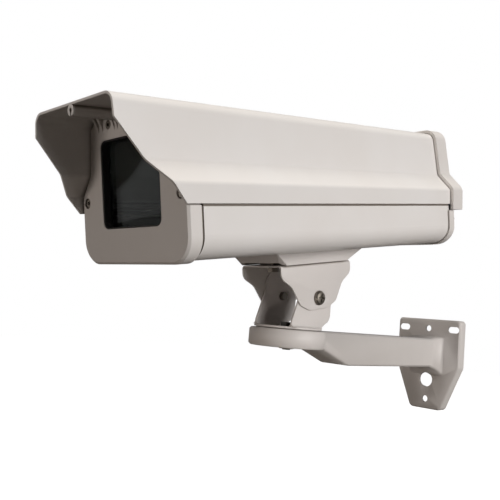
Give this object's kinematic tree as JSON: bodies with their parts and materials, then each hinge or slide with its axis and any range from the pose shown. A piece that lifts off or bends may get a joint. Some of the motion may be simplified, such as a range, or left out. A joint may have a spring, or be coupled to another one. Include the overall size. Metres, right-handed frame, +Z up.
{
  "type": "security camera housing",
  "caption": "Long shell housing for a camera: glazed front under a slant-cut sun visor, upper shell hinged sideways, swivel and tilt yoke on a wall arm with a tapered fixing plate.",
  "frame": {"origin": "on the wall face, midway between the two fixing slots", "axes": "+Y out of the back of the wall plate into the wall, the window looks toward -Y, +Z up"},
  "size_m": [0.1588, 0.5234, 0.3189],
  "materials": {
    "cream_coat": "satin powder coat",
    "cast_coat": "fine powder coat on casting",
    "zinc_steel": "zinc plated",
    "stainless": "bright",
    "knurled_steel": "knurled",
    "black_steel": "black oxide",
    "black_rubber": "matte",
    "window": "clear float glass",
    "bare_aluminium": "mill finish",
    "gland_plastic": "matte"
  },
  "bodies": {
    "wall_bracket": {"wall_arm": "cast_coat"},
    "swivel": {"lower_clevis": "cast_coat", "swivel_bolt": "black_steel", "swivel_washer": "zinc_steel", "swivel_nut": "zinc_steel", "tilt_screws": "zinc_steel"},
    "housing": {"upper_clevis": "cast_coat", "saddle": "cast_coat", "saddle_screws": "zinc_steel", "saddle_nuts": "zinc_steel", "tray": "cream_coat", "seam_gasket": "black_rubber", "rear_lower_cap": "cast_coat", "lower_cap_screws": "stainless", "gland_bodies": "gland_plastic", "gland_caps": "gland_plastic", "gland_seals": "black_rubber", "gland_locknuts": "gland_plastic", "plate_screws": "knurled_steel"},
    "lid": {"hood": "cream_coat", "front_bezel": "cast_coat", "bezel_screws": "stainless", "top_screw": "stainless", "bezel_seal": "black_rubber", "window_gasket": "black_rubber", "window_glass": "window", "window_retainer": "bare_aluminium", "retainer_screws": "stainless", "rear_upper_cap": "cast_coat", "upper_cap_screws": "stainless", "lock_screw": "stainless"},
    "table": {"camera_plate": "bare_aluminium", "camera_screw": "zinc_steel"}
  },
  "joints": [
    {"name": "pan", "type": "hinge", "parent": "wall_bracket", "child": "swivel", "pos_m": [0, -0.2684, -0.0124], "axis": [0, 0, 1], "range_deg": [-90, 90]},
    {"name": "tilt", "type": "hinge", "parent": "swivel", "child": "housing", "pos_m": [0, -0.2559, 0.02], "axis": [1, 0, 0], "range_deg": [-25, 35]},
    {"name": "lid_hinge", "type": "hinge", "parent": "housing", "child": "lid", "pos_m": [-0.0711, -0.27509, 0.10872], "axis": [0, -0.9852, -0.1714], "range_deg": [0, 70]},
    {"name": "plate_slide", "type": "slide", "parent": "housing", "child": "table", "axis": [0, 0.9852, 0.1714], "range_m": [-0.018, 0.018]}
  ]
}
